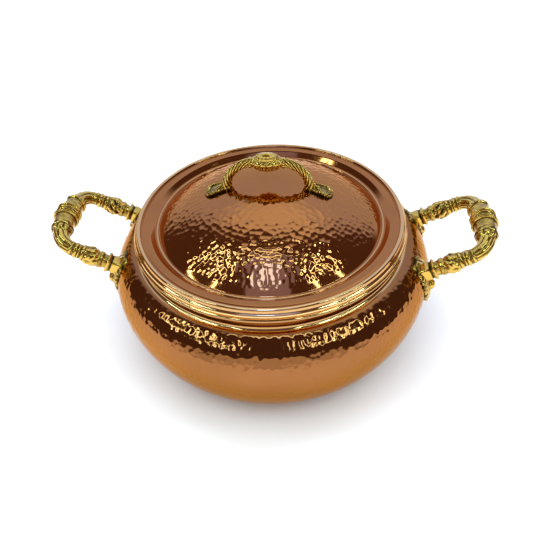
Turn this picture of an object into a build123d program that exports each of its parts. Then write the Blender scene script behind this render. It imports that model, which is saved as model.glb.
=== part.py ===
"""Hammered copper soup kettle with a lift-off lid.

The pot is a spun copper shell with a bright lining and a wired, rolled rim.
Two cast brass side handles stand on riveted leaf-shaped feet.
The lid is a shallow dome with a stepped, smooth border and a wired edge.
It carries a twisted-rope brass bail with a shell boss, and a skirt centres it in the mouth.

Origin: centre of the flat base, on the surface the kettle stands on.
+Z is up, +X runs through the right handle, -Y is the front.
All lengths are in millimetres and all angles in degrees.
"""
from build123d import *
from math import asin, atan2, cos, degrees, radians, sin, sqrt
import os

# ---------------------------------------------------------------- driving sizes
belly_radius = 155.0        # widest point of the pot
belly_height = 72.5         # height of the widest point
body_height = 122.2         # top of the rolled rim
wall = 1.2                  # copper sheet of the pot
lining_wall = 0.5           # bright inner lining
neck_radius = 126.4         # outside of the short neck under the rim
curl_radius = 2.3           # rolled edges of pot and lid
wire_radius = 1.05          # wire inside each rolled edge
curl_bore = 1.1             # hollow of the rolled edge

lid_wall = 1.0              # copper sheet of the lid
lid_lining_wall = 0.4
lid_edge_radius = 126.2     # centre of the lid's rolled edge
seat_gap = 0.02             # running gap between the two rolled edges
cutter_reach = 10.0         # how far a cutting tool stands clear on each side
dome_foot_radius = 105.0
dome_foot_slope = 41.0      # steepness of the dome where it meets the border

handle_tilt = 28.0          # the loops rise outwards
handle_root = (151.0, 97.5)  # x and z of the loop's local origin
leg_spacing = 79.0          # between the two legs of a loop
loop_reach = 55.5           # local origin to the middle of the grip
bar_arc_radius = 120.0      # the grip bows outwards slightly
corner_radius = 17.0
tube_radius = 6.2

bail_span = 76.0            # between the rope arms where they leave the lid
bail_rise = 27.5            # radius of each rope arm's bend
rope_radius = 3.4

# ---------------------------------------------------------------- body profile
upper_turn = 45.0           # the belly's upper bend ends here
lower_turn = 36.0           # the belly's lower bend ends here
upper_bend = 40.0
shoulder_bend = 26.0
lower_bend = 95.0
cove = 3.5                  # hollow curve between shoulder and neck


def stepped(centre, distance, angle):
    """A point at a distance and angle from a centre, in the profile's plane."""
    return (centre[0] + distance * cos(radians(angle)), centre[1] + distance * sin(radians(angle)))


upper_centre = (belly_radius - upper_bend, belly_height)
shoulder_centre = stepped(upper_centre, upper_bend - shoulder_bend, upper_turn)
lower_centre = (belly_radius - lower_bend, belly_height)
lower_sine = sin(radians(lower_turn))
heel_bend = (belly_height - lower_bend * lower_sine) / (1 - lower_sine)
heel_centre = stepped(lower_centre, lower_bend - heel_bend, -lower_turn)

cove_run = neck_radius + cove - shoulder_centre[0]
cove_rise = sqrt((shoulder_bend + cove) ** 2 - cove_run ** 2)
cove_angle = degrees(atan2(cove_rise, cove_run))
cove_centre = (neck_radius + cove, shoulder_centre[1] + cove_rise)

rim_radius = neck_radius - wall + curl_radius
rim_height = body_height - curl_radius


def wall_profile(inset, top):
    """Half outline of the pot's wall, moved inwards by an inset, from the axis up to a height."""
    Line((0, inset), (heel_centre[0], inset))
    CenterArc(heel_centre, heel_bend - inset, -90, 90 - lower_turn)
    CenterArc(lower_centre, lower_bend - inset, -lower_turn, lower_turn)
    CenterArc(upper_centre, upper_bend - inset, 0, upper_turn)
    CenterArc(shoulder_centre, shoulder_bend - inset, upper_turn, cove_angle - upper_turn)
    CenterArc(cove_centre, cove + inset, 180, cove_angle)
    Line((neck_radius - inset, cove_centre[1]), (neck_radius - inset, top))


def rolled_edge(radius, height):
    """Section of a rolled sheet edge with its round hollow for the wire."""
    with Locations((radius, height)):
        Circle(curl_radius)
        Circle(curl_bore, mode=Mode.SUBTRACT)


# ---------------------------------------------------------------- handle feet: shared placing
foot_angle = degrees(asin(leg_spacing / 2 / belly_radius))   # round the pot from the X axis
foot_thickness = 3.2
foot_width = 26.0
foot_top_half_width = 9.4
foot_shoulder_drop = 16.0   # from the top down to the widest part of the leaf
foot_top = 104.0
foot_tip = 57.0
rivet_height = 80.0
rivet_shank = 2.5           # radius
rivet_head = 5.0            # radius
rivet_head_height = 3.0
rivet_head_taper = 38.0
spot_depth = 0.3            # flat spot face under the rivet's head
upset_height = 1.2          # peened end inside the pot
upset_radius = rivet_shank + 1.2
rivet_rise = asin((rivet_height - belly_height) / upper_bend)
rivet_skin = upper_centre[0] + upper_bend * cos(rivet_rise)
burr_radius = 5.5
burr_thickness = 1.0

foot_out = (cos(radians(foot_angle)), -sin(radians(foot_angle)))   # front right foot
foot_face = Plane(origin=(0, 0, 0), x_dir=(-foot_out[1], foot_out[0], 0), z_dir=(*foot_out, 0))
rivet_plane = Plane(
    origin=(rivet_skin * foot_out[0], rivet_skin * foot_out[1], rivet_height),
    x_dir=foot_face.x_dir,
    z_dir=(foot_out[0] * cos(rivet_rise), foot_out[1] * cos(rivet_rise), sin(rivet_rise)),
)


def four_ways(part):
    """The front right piece, then its mirror images at the other three feet."""
    rear = part.mirror(Plane.XZ)
    return part, rear, part.mirror(Plane.YZ), rear.mirror(Plane.YZ)


with BuildPart() as rivet_hole:
    with BuildSketch(rivet_plane.offset(-cutter_reach)):
        Circle(rivet_shank)
    extrude(amount=2 * cutter_reach)

# ---------------------------------------------------------------- pot
with BuildPart() as pot_shell:
    with BuildSketch(Plane.XZ):
        with BuildLine():
            wall_profile(0, rim_height)
            wall_profile(wall, rim_height)
            Line((0, 0), (0, wall))
            Line((neck_radius, rim_height), (neck_radius - wall, rim_height))
        make_face()
        rolled_edge(rim_radius, rim_height)
    revolve(axis=Axis.Z)
    for hole in four_ways(rivet_hole.part):
        add(hole, mode=Mode.SUBTRACT)

lining_step = 0.4           # the lining stops this far under the curl's centre
lining_top = rim_height - lining_step
with BuildPart() as pot_lining:
    with BuildSketch(Plane.XZ):
        with BuildLine():
            wall_profile(wall, lining_top)
            wall_profile(wall + lining_wall, lining_top)
            Line((0, wall), (0, wall + lining_wall))
            Line((neck_radius - wall, lining_top), (neck_radius - wall - lining_wall, lining_top))
        make_face()
    revolve(axis=Axis.Z)
    for hole in four_ways(rivet_hole.part):
        add(hole, mode=Mode.SUBTRACT)

with BuildPart() as rim_wire:
    with BuildSketch(Plane.XZ):
        with Locations((rim_radius, rim_height)):
            Circle(wire_radius)
    revolve(axis=Axis.Z)

# The pot's outer shape as one solid, used only to trim what stands against it.
with BuildPart() as pot_form:
    with BuildSketch(Plane.XZ):
        with BuildLine():
            wall_profile(0, rim_height)
            Line((0, 0), (0, rim_height))
            Line((0, rim_height), (neck_radius, rim_height))
        make_face()
    revolve(axis=Axis.Z)

# The pot's inside as one solid, used only to fit the burrs to the curved lining.
with BuildPart() as pot_cavity:
    with BuildSketch(Plane.XZ):
        with BuildLine():
            wall_profile(wall + lining_wall, rim_height)
            Line((0, wall + lining_wall), (0, rim_height))
            Line((0, rim_height), (neck_radius - wall - lining_wall, rim_height))
        make_face()
    revolve(axis=Axis.Z)

# ---------------------------------------------------------------- handle feet
tilt_out = (cos(radians(handle_tilt)), 0, sin(radians(handle_tilt)))
tilt_up = (-sin(radians(handle_tilt)), 0, cos(radians(handle_tilt)))
loop_plane = Plane(origin=(handle_root[0], 0, handle_root[1]), x_dir=tilt_out, z_dir=tilt_up)
leg_y = -leg_spacing / 2
block_end = 4.0             # the block stops here, measured along the leg
block_root = -16.0
block_width = 13.0
block_depth = 15.0
block_corner = 2.0
foot_block_reach = 30.0     # the leaf is cut from a block this deep on each side of the belly
tenon_radius = 3.5
tenon_gap = 0.02
tenon_end = -1.0

with BuildPart() as right_front_foot:
    with BuildSketch(foot_face.offset(belly_radius - foot_block_reach)):
        with BuildLine():
            Line((-foot_top_half_width, foot_top), (foot_top_half_width, foot_top))
            for side in (-1, 1):
                ThreePointArc(
                    (side * foot_top_half_width, foot_top),
                    (side * foot_width / 2, foot_top - foot_shoulder_drop),
                    (0, foot_tip),
                )
        make_face()
    extrude(amount=2 * foot_block_reach)
    with BuildSketch(Plane.XZ):
        with BuildLine():
            wall_profile(-foot_thickness, rim_height)
            Line((0, -foot_thickness), (0, rim_height))
            Line((0, rim_height), (neck_radius + foot_thickness, rim_height))
        make_face()
    revolve(axis=Axis.Z, mode=Mode.INTERSECT)
    leg_start = loop_plane.from_local_coords((block_root, leg_y, 0))
    with BuildSketch(Plane(origin=leg_start, x_dir=(0, 1, 0), z_dir=tilt_out)):
        RectangleRounded(block_width, block_depth, block_corner)
    extrude(amount=block_end - block_root)
    add(pot_form.part, mode=Mode.SUBTRACT)
    tenon_start = loop_plane.from_local_coords((tenon_end, leg_y, 0))
    with BuildSketch(Plane(origin=tenon_start, x_dir=(0, 1, 0), z_dir=tilt_out)):
        Circle(tenon_radius)
    extrude(amount=block_end - tenon_end, mode=Mode.SUBTRACT)
    add(rivet_hole.part, mode=Mode.SUBTRACT)
    with BuildSketch(rivet_plane.offset(foot_thickness - spot_depth)):
        Circle(rivet_head)
    extrude(amount=rivet_head_height, mode=Mode.SUBTRACT)

with BuildPart() as right_rear_foot:
    add(right_front_foot.part.mirror(Plane.XZ))

with BuildPart() as left_front_foot:
    add(right_front_foot.part.mirror(Plane.YZ))

with BuildPart() as left_rear_foot:
    add(right_rear_foot.part.mirror(Plane.YZ))

# ---------------------------------------------------------------- rivets and burrs
sheet_stack = wall + lining_wall
with BuildPart() as one_rivet:
    with BuildSketch(rivet_plane.offset(-sheet_stack - burr_thickness)):
        Circle(rivet_shank)
    extrude(amount=sheet_stack + burr_thickness + foot_thickness - spot_depth)
    with BuildSketch(rivet_plane.offset(foot_thickness - spot_depth)):
        Circle(rivet_head)
    extrude(amount=rivet_head_height, taper=rivet_head_taper)
    with BuildSketch(rivet_plane.offset(-sheet_stack - burr_thickness - upset_height)):
        Circle(upset_radius)
    extrude(amount=upset_height)

with BuildPart() as one_burr:
    with BuildSketch(rivet_plane.offset(-sheet_stack - burr_thickness)):
        Circle(burr_radius)
        Circle(rivet_shank, mode=Mode.SUBTRACT)
    extrude(amount=2 * burr_thickness)
    add(pot_cavity.part, mode=Mode.INTERSECT)

with BuildPart() as handle_rivets:
    for rivet in four_ways(one_rivet.part):
        add(rivet)

with BuildPart() as rivet_burrs:
    for burr in four_ways(one_burr.part):
        add(burr)

# ---------------------------------------------------------------- side handle loop
bar_centre_x = loop_reach - bar_arc_radius
corner_y = leg_spacing / 2 - corner_radius
bar_half_angle = degrees(asin(corner_y / (bar_arc_radius - corner_radius)))
corner_x = bar_centre_x + (bar_arc_radius - corner_radius) * cos(radians(bar_half_angle))

# The leg's ornament, measured along the leg from the loop's origin.
collar_radius = 8.4
collar_end = block_end + 2.4
knuckle_middle = 13.2
knuckle_radius = 9.5
knuckle_end = 21.5
waist_radius = 6.4
leg_rings = ((24.0, 27.6, 8.0), (27.6, 30.4, 7.4), (30.4, 33.6, 7.9))   # start, end, radius

# The grip's ornament, measured out from its middle.
grip_x = loop_reach - 0.7
drum_radius = 11.0
band_start = 3.2
band_end = 8.0
band_radius = 12.2
cone_end = 19.0
cone_radius = 9.6
petal_middle = 21.6
petal_end = 24.2
petal_radius = 9.7
grip_end = 28.0
grip_end_radius = 6.6


with BuildPart() as right_handle_loop:
    with BuildLine(loop_plane) as loop_path:
        Line((block_end, leg_y), (corner_x, leg_y))
        CenterArc((corner_x, -corner_y), corner_radius, -90, 90 - bar_half_angle)
        CenterArc((bar_centre_x, 0), bar_arc_radius, -bar_half_angle, 2 * bar_half_angle)
        CenterArc((corner_x, corner_y), corner_radius, bar_half_angle, 90 - bar_half_angle)
        Line((corner_x, -leg_y), (block_end, -leg_y))
    loop_start = loop_plane.from_local_coords((block_end, leg_y, 0))
    with BuildSketch(Plane(origin=loop_start, x_dir=(0, 1, 0), z_dir=tilt_out)):
        Circle(tube_radius)
    sweep(path=loop_path.line)

    # leg ornament: collar, melon knuckle, ring cluster
    leg_axis = Axis(loop_plane.from_local_coords((0, leg_y, 0)), tilt_out)
    with BuildSketch(loop_plane):
        with BuildLine():
            Line((block_end, leg_y), (block_end, leg_y - collar_radius))
            Line((block_end, leg_y - collar_radius), (collar_end, leg_y - collar_radius))
            ThreePointArc(
                (collar_end, leg_y - collar_radius),
                (knuckle_middle, leg_y - knuckle_radius),
                (knuckle_end, leg_y - waist_radius),
            )
            Line((knuckle_end, leg_y - waist_radius), (leg_rings[0][0], leg_y - waist_radius))
            for ring_start, ring_end, ring_radius in leg_rings:
                ThreePointArc(
                    (ring_start, leg_y - waist_radius),
                    ((ring_start + ring_end) / 2, leg_y - ring_radius),
                    (ring_end, leg_y - waist_radius),
                )
            Line((leg_rings[-1][1], leg_y - waist_radius), (leg_rings[-1][1], leg_y))
            Line((leg_rings[-1][1], leg_y), (block_end, leg_y))
        make_face()
    revolve(axis=leg_axis)
    # tenon that enters the foot's block
    with BuildSketch(Plane(origin=tenon_start, x_dir=(0, 1, 0), z_dir=tilt_out)):
        Circle(tenon_radius - tenon_gap)
    extrude(amount=block_end - tenon_end)
    mirror(about=Plane.XZ)

    # grip: petal cups, tapered barrel and a banded drum in the middle
    grip_axis = Axis(loop_plane.from_local_coords((grip_x, 0, 0)), (0, 1, 0))
    with BuildSketch(loop_plane):
        with BuildLine():
            Line((grip_x, 0), (grip_x + drum_radius, 0))
            Line((grip_x + drum_radius, 0), (grip_x + drum_radius, band_start))
            ThreePointArc(
                (grip_x + drum_radius, band_start),
                (grip_x + band_radius, (band_start + band_end) / 2),
                (grip_x + drum_radius, band_end),
            )
            Line((grip_x + drum_radius, band_end), (grip_x + cone_radius, cone_end))
            ThreePointArc(
                (grip_x + cone_radius, cone_end),
                (grip_x + petal_radius, petal_middle),
                (grip_x + petal_radius, petal_end),
            )
            Line((grip_x + petal_radius, petal_end), (grip_x + grip_end_radius, grip_end))
            Line((grip_x + grip_end_radius, grip_end), (grip_x, grip_end))
            Line((grip_x, grip_end), (grip_x, 0))
        make_face()
    revolve(axis=grip_axis)
    mirror(about=Plane.XZ)

with BuildPart() as left_handle_loop:
    add(right_handle_loop.part.mirror(Plane.YZ))

# ---------------------------------------------------------------- lid
border_rise = 4.6           # border over the rolled edge's centre
ring_drop = 4.7             # small ring beside the gutter, under the border
gutter_drop = 5.15
ring_crown = 0.6
ridge_crown = 1.1
web_width = 1.2             # joins the ridge to the rolled edge
web_gap = 0.2
lid_edge_height = rim_height + seat_gap + sqrt(
    (2 * curl_radius) ** 2 - (rim_radius - lid_edge_radius) ** 2
)
border_top = lid_edge_height + border_rise  # flat smooth border
bead_step_top = border_top - ring_drop      # small raised ring inside the border
gutter_top = border_top - gutter_drop       # gutter round the dome's foot
gutter_width = 0.4
ring_inner = 105.8
ring_outer = 108.4
border_inner = 114.2
border_outer = 122.9
ridge_outer = 126.0
skirt_outer = 122.6
skirt_wall = 1.0
skirt_bottom = 112.5
dome_radius = dome_foot_radius / sin(radians(dome_foot_slope))
dome_centre = gutter_top - dome_radius * cos(radians(dome_foot_slope))
dome_top = dome_centre + dome_radius


def lid_profile(drop, border_end):
    """Half outline of the lid from its centre to the border, lowered by a drop."""
    gutter = gutter_top - drop
    ring = bead_step_top - drop
    border = border_top - drop
    CenterArc((0, dome_centre - drop), dome_radius, 90 - dome_foot_slope, dome_foot_slope)
    Line((dome_foot_radius, gutter), (dome_foot_radius + gutter_width, gutter))
    Line((dome_foot_radius + gutter_width, gutter), (ring_inner, ring))
    ring_middle = (ring_inner + ring_outer) / 2
    ThreePointArc((ring_inner, ring), (ring_middle, ring + ring_crown), (ring_outer, ring))
    Line((ring_outer, ring), (border_inner, border))
    Line((border_inner, border), (border_end, border))


def ridge_profile(drop):
    """Half outline of the low ridge between the border and the rolled edge."""
    foot = border_top - drop
    ThreePointArc(
        (border_outer, foot),
        ((border_outer + ridge_outer) / 2, foot + ridge_crown),
        (ridge_outer, foot),
    )


# The bail's screws stand square to the dome, one under each foot.
screw_reach = 52.0          # from the lid's axis, on the dome's surface
screw_radius = 2.0
screw_slope = asin(screw_reach / dome_radius)
right_screw_plane = Plane(
    origin=(screw_reach, 0, dome_centre + dome_radius * cos(screw_slope)),
    x_dir=(cos(screw_slope), 0, -sin(screw_slope)),
    z_dir=(sin(screw_slope), 0, cos(screw_slope)),
)

with BuildPart() as screw_hole:
    with BuildSketch(right_screw_plane.offset(-cutter_reach)):
        Circle(screw_radius)
    extrude(amount=2 * cutter_reach)

with BuildPart() as lid_shell:
    with BuildSketch(Plane.XZ):
        with BuildLine():
            lid_profile(0, border_outer)
            ridge_profile(0)
            lid_profile(lid_wall, border_outer)
            ridge_profile(lid_wall)
            Line((0, dome_top), (0, dome_top - lid_wall))
            Line((ridge_outer, border_top), (ridge_outer, border_top - lid_wall))
        make_face()
        # short web that joins the ridge to the rolled edge
        with Locations((ridge_outer - web_width / 2, (border_top + lid_edge_height) / 2)):
            Rectangle(web_width, border_rise - web_gap)
        rolled_edge(lid_edge_radius, lid_edge_height)
    revolve(axis=Axis.Z)
    add(screw_hole.part, mode=Mode.SUBTRACT)
    add(screw_hole.part.mirror(Plane.YZ), mode=Mode.SUBTRACT)

lining_edge = skirt_outer - skirt_wall
with BuildPart() as lid_lining:
    with BuildSketch(Plane.XZ):
        with BuildLine():
            lid_profile(lid_wall, lining_edge)
            lid_profile(lid_wall + lid_lining_wall, lining_edge)
            Line((0, dome_top - lid_wall), (0, dome_top - lid_wall - lid_lining_wall))
            Line(
                (lining_edge, border_top - lid_wall),
                (lining_edge, border_top - lid_wall - lid_lining_wall),
            )
        make_face()
    revolve(axis=Axis.Z)
    add(screw_hole.part, mode=Mode.SUBTRACT)
    add(screw_hole.part.mirror(Plane.YZ), mode=Mode.SUBTRACT)

with BuildPart() as lid_skirt:
    with BuildSketch(Plane.XY.offset(skirt_bottom)):
        Circle(skirt_outer)
        Circle(skirt_outer - skirt_wall, mode=Mode.SUBTRACT)
    extrude(amount=border_top - lid_wall - skirt_bottom)

with BuildPart() as lid_edge_wire:
    with BuildSketch(Plane.XZ):
        with Locations((lid_edge_radius, lid_edge_height)):
            Circle(wire_radius)
    revolve(axis=Axis.Z)

# ---------------------------------------------------------------- bail
bail_foot_thickness = 3.0
bail_foot_start = 34.0
bail_foot_end = 59.5
fan_corner = 55.0           # the blunt outer end starts to round here
fan_waist = 46.0
fan_half_widths = (5.5, 7.0, 9.0)   # at the start, the waist and the corner
boss_half_length = 15.5
boss_radius = 8.8
boss_cap_radius = 4.6
boss_swell_end = 13.4       # half length of the swollen middle
bail_axis_height = 186.5
arm_centre = (bail_span / 2 - bail_rise, bail_axis_height - bail_rise)
socket_radius = 5.4
socket_top = 163.0
screw_depth = 2.2           # thread inside the foot
screw_head_radius = 3.6
screw_head_height = 2.4
washer_radius = 5.2
washer_thickness = 0.8
screw_gap = 0.05            # round the shank
screw_end_gap = 0.1
screw_head_taper = 20.0
sag_gap = 0.02

with BuildPart() as right_bail_foot:
    with BuildSketch(Plane.XY.offset(dome_centre)):
        with BuildLine():
            start_half, waist_half, corner_half = fan_half_widths
            Line((bail_foot_start, -start_half), (bail_foot_start, start_half))
            for side in (-1, 1):
                Line((bail_foot_start, side * start_half), (fan_waist, side * waist_half))
                Line((fan_waist, side * waist_half), (fan_corner, side * corner_half))
            ThreePointArc((fan_corner, corner_half), (bail_foot_end, 0), (fan_corner, -corner_half))
        make_face()
    extrude(amount=dome_radius + 2 * cutter_reach)
    with Locations((0, 0, dome_centre)):
        Sphere(dome_radius + bail_foot_thickness, mode=Mode.INTERSECT)
    with BuildSketch(Plane.XY.offset(dome_centre)):
        with Locations((bail_span / 2, 0)):
            Circle(socket_radius)
    extrude(amount=socket_top - dome_centre)
    with Locations((0, 0, dome_centre)):
        Sphere(dome_radius, mode=Mode.SUBTRACT)
    with BuildSketch(right_screw_plane.offset(-lid_wall)):
        Circle(screw_radius)
    extrude(amount=lid_wall + screw_depth, mode=Mode.SUBTRACT)

with BuildPart() as left_bail_foot:
    add(right_bail_foot.part.mirror(Plane.YZ))

with BuildPart() as bail_boss:
    with BuildSketch(Plane.XZ):
        with BuildLine():
            cap_height = bail_axis_height + boss_cap_radius
            for side in (-1, 1):
                end = side * boss_half_length
                Line((end, bail_axis_height), (end, cap_height))
                Line((end, cap_height), (side * boss_swell_end, cap_height))
            ThreePointArc(
                (-boss_swell_end, cap_height),
                (0, bail_axis_height + boss_radius),
                (boss_swell_end, cap_height),
            )
            Line((-boss_half_length, bail_axis_height), (boss_half_length, bail_axis_height))
        make_face()
    revolve(axis=Axis((0, 0, bail_axis_height), (1, 0, 0)))

with BuildPart() as right_bail_arm:
    with BuildLine(Plane.XZ) as arm_path:
        CenterArc(arm_centre, bail_rise, 0, 90)
    with BuildSketch(Plane(origin=(bail_span / 2, 0, arm_centre[1]), z_dir=(0, 0, 1))):
        Circle(rope_radius)
    sweep(path=arm_path.line)
    add(right_bail_foot.part, mode=Mode.SUBTRACT)
    add(bail_boss.part, mode=Mode.SUBTRACT)
    with BuildSketch(Plane.XY.offset(socket_top)):
        with Locations((bail_span / 2, 0)):
            Circle(2 * rope_radius)
    extrude(amount=-cutter_reach, mode=Mode.SUBTRACT)

with BuildPart() as left_bail_arm:
    add(right_bail_arm.part.mirror(Plane.YZ))

# ---------------------------------------------------------------- bail screws and washers
lid_sheets = (lid_wall + lid_lining_wall) * cos(screw_slope)
washer_sag = washer_radius ** 2 / (2 * dome_radius) + sag_gap
washer_level = -lid_sheets - washer_sag - washer_thickness

with BuildPart() as one_bail_screw:
    with BuildSketch(right_screw_plane.offset(washer_level)):
        Circle(screw_radius - screw_gap)
    extrude(amount=screw_depth - washer_level - screw_end_gap)
    with BuildSketch(right_screw_plane.offset(washer_level)):
        Circle(screw_head_radius)
    extrude(amount=-screw_head_height, taper=screw_head_taper)

with BuildPart() as one_bail_washer:
    with BuildSketch(right_screw_plane.offset(washer_level)):
        Circle(washer_radius)
        Circle(screw_radius, mode=Mode.SUBTRACT)
    extrude(amount=washer_thickness)

with BuildPart() as bail_screws:
    add(one_bail_screw.part)
    add(one_bail_screw.part.mirror(Plane.YZ))

with BuildPart() as bail_washers:
    add(one_bail_washer.part)
    add(one_bail_washer.part.mirror(Plane.YZ))

# ---------------------------------------------------------------- export
pieces = {
    "pot_shell": pot_shell,
    "pot_lining": pot_lining,
    "rim_wire": rim_wire,
    "right_front_foot": right_front_foot,
    "right_rear_foot": right_rear_foot,
    "left_front_foot": left_front_foot,
    "left_rear_foot": left_rear_foot,
    "right_handle_loop": right_handle_loop,
    "left_handle_loop": left_handle_loop,
    "handle_rivets": handle_rivets,
    "rivet_burrs": rivet_burrs,
    "lid_shell": lid_shell,
    "lid_lining": lid_lining,
    "lid_skirt": lid_skirt,
    "lid_edge_wire": lid_edge_wire,
    "right_bail_foot": right_bail_foot,
    "left_bail_foot": left_bail_foot,
    "bail_boss": bail_boss,
    "right_bail_arm": right_bail_arm,
    "left_bail_arm": left_bail_arm,
    "bail_screws": bail_screws,
    "bail_washers": bail_washers,
}

os.makedirs("parts", exist_ok=True)
for name, piece in pieces.items():
    piece.part.label = name
    export_step(piece.part, f"parts/{name}.step")
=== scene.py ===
"""Looks of the hammered copper soup kettle: meshes, materials, light and camera.

Shapes are worked out in millimetres, in the kettle's own frame, and turned into metres when a mesh is made.
The hammer marks and the cast ornament are real geometry. Everything random is seeded.
"""
from math import asin, atan2, cos, degrees, pi, radians, sin, sqrt

import bpy
import numpy as np
from mathutils import Matrix, Vector, kdtree, noise


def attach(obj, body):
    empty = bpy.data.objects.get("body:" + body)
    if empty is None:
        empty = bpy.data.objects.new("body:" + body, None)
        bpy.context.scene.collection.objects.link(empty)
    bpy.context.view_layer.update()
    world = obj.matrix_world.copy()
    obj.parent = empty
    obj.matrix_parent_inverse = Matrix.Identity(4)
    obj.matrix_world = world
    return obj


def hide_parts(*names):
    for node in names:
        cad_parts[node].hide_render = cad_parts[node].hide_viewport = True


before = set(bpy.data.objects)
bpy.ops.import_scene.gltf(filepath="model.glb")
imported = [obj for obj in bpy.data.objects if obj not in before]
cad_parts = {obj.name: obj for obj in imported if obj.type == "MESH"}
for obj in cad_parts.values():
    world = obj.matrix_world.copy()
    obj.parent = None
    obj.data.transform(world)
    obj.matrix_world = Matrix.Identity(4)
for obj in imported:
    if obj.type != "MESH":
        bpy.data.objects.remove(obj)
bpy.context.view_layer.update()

MM = 0.001

# ---------------------------------------------------------------- driving sizes, as in the design
belly_radius = 155.0
belly_height = 72.5
body_height = 122.2
wall = 1.2
neck_radius = 126.4
curl_radius = 2.3
upper_bend, shoulder_bend, lower_bend, cove = 40.0, 26.0, 95.0, 3.5
upper_turn, lower_turn = 45.0, 36.0

lid_wall = 1.0
lid_edge_radius = 126.2
seat_gap = 0.02
dome_foot_radius = 105.0
dome_foot_slope = 41.0
border_rise, ring_drop, gutter_drop = 4.6, 4.7, 5.15
gutter_width = 0.4
ring_inner, ring_outer = 105.8, 108.4
border_inner, border_outer, ridge_outer = 114.2, 121.9, 126.0
border_groove = 0.55
ridge_crown, ring_crown = 1.5, 0.6
dome_smooth_foot = 8.0      # width of the dome's foot that is left smooth

handle_tilt = 28.0
handle_root = (151.0, 97.5)
leg_spacing = 79.0
loop_reach = 55.5
bar_arc_radius = 120.0
corner_radius = 17.0
block_end = 4.0

bail_span = 76.0
bail_rise = 27.5
rope_radius = 3.4
bail_axis_height = 186.5

# ---------------------------------------------------------------- derived places
upper_centre = np.array((belly_radius - upper_bend, belly_height))
shoulder_centre = upper_centre + (upper_bend - shoulder_bend) * np.array(
    (cos(radians(upper_turn)), sin(radians(upper_turn)))
)
lower_centre = np.array((belly_radius - lower_bend, belly_height))
lower_sine = sin(radians(lower_turn))
heel_bend = (belly_height - lower_bend * lower_sine) / (1 - lower_sine)
heel_centre = lower_centre + (lower_bend - heel_bend) * np.array((cos(radians(lower_turn)), -lower_sine))
cove_run = neck_radius + cove - shoulder_centre[0]
cove_rise = sqrt((shoulder_bend + cove) ** 2 - cove_run**2)
cove_angle = degrees(atan2(cove_rise, cove_run))
cove_centre = np.array((neck_radius + cove, shoulder_centre[1] + cove_rise))
rim_radius = neck_radius - wall + curl_radius
rim_height = body_height - curl_radius

lid_edge_height = rim_height + seat_gap + sqrt((2 * curl_radius) ** 2 - (rim_radius - lid_edge_radius) ** 2)
border_top = lid_edge_height + border_rise
ring_top = border_top - ring_drop
gutter_top = border_top - gutter_drop
dome_radius = dome_foot_radius / sin(radians(dome_foot_slope))
dome_centre = gutter_top - dome_radius * cos(radians(dome_foot_slope))


# ---------------------------------------------------------------- mesh helpers
SOFT_ROWS = 5               # rows over which hammering fades where it stops
SAME_PLACE = 1e-4           # closer points count as one


def arc(centre, radius, start, end, step):
    """Points along an arc of a profile, about a step apart, from one angle to another in degrees."""
    count = max(3, int(abs(radians(end - start)) * radius / step) + 1)
    angles = np.radians(np.linspace(start, end, count))
    return np.stack([centre[0] + radius * np.cos(angles), centre[1] + radius * np.sin(angles)], 1)


def line(start, end, step):
    """Points along a straight stretch of a profile, about a step apart."""
    start, end = np.array(start, float), np.array(end, float)
    count = max(2, int(np.linalg.norm(end - start) / step) + 1)
    return start + np.linspace(0, 1, count)[:, None] * (end - start)


def joined(*stretches):
    """One profile from (points, hammering, coarseness) stretches, without repeated points.

    Hammering is softened where it stops. Each row has half as many columns for each step of coarseness, and
    neighbouring rows are at most one step apart.
    """
    points = np.concatenate([p for p, _, _ in stretches])
    mask = np.concatenate([np.full(len(p), float(h)) for p, h, _ in stretches])
    level = np.concatenate([np.full(len(p), c) for p, _, c in stretches])
    keep = np.r_[True, np.linalg.norm(np.diff(points, axis=0), axis=1) > SAME_PLACE]
    points, mask, level = points[keep], mask[keep], level[keep]
    padded = np.pad(mask, SOFT_ROWS // 2, mode="edge")
    soft = np.convolve(padded, np.ones(SOFT_ROWS) / SOFT_ROWS, "valid")
    for i in range(1, len(level)):
        level[i] = min(level[i], level[i - 1] + 1)
    for i in range(len(level) - 2, -1, -1):
        level[i] = min(level[i], level[i + 1] + 1)
    return points, np.minimum(mask, soft), level


def make_object(name, vertices, faces, material, relief=None):
    """A smooth mesh object from points in millimetres; relief is 0 in a crevice and 1 on a crest, and the
    brass paints shade into low relief while the copper paints a highlight onto high relief.
    """
    mesh = bpy.data.meshes.new(name)
    mesh.from_pydata((np.asarray(vertices) * MM).tolist(), [], [tuple(f) for f in faces])
    mesh.shade_smooth()
    if relief is not None:
        attribute = mesh.attributes.new("relief", "FLOAT", "POINT")
        attribute.data.foreach_set("value", np.asarray(relief, np.float32))
    mesh.materials.append(material)
    mesh.update()
    thing = bpy.data.objects.new(name, mesh)
    bpy.context.scene.collection.objects.link(thing)
    return thing


def grid_faces(rows, columns):
    """Quads of a grid of points, row by row, whose columns close on themselves."""
    i, j = np.meshgrid(np.arange(rows - 1), np.arange(columns), indexing="ij")
    k = (j + 1) % columns
    quads = np.stack([i * columns + j, i * columns + k, (i + 1) * columns + k, (i + 1) * columns + j], -1)
    return quads.reshape(-1, 4).tolist()


def closed_tube(rings):
    """Vertices and faces of a closed tube through rings of points, with a point in the middle of each end."""
    rows, columns, _ = rings.shape
    vertices = np.concatenate([rings.reshape(-1, 3), [rings[0].mean(0)], [rings[-1].mean(0)]])
    faces = grid_faces(rows, columns)
    first, last = rows * columns, rows * columns + 1
    base = (rows - 1) * columns
    for j in range(columns):
        k = (j + 1) % columns
        faces.append([first, k, j])
        faces.append([last, base + j, base + k])
    return vertices, faces


def merged(parts):
    """One set of vertices, faces and relief from several."""
    vertices, faces, relief, offset = [], [], [], 0
    for v, f, r in parts:
        vertices.append(v)
        faces.extend([[i + offset for i in face] for face in f])
        relief.append(r)
        offset += len(v)
    return np.concatenate(vertices), faces, np.concatenate(relief)


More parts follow.
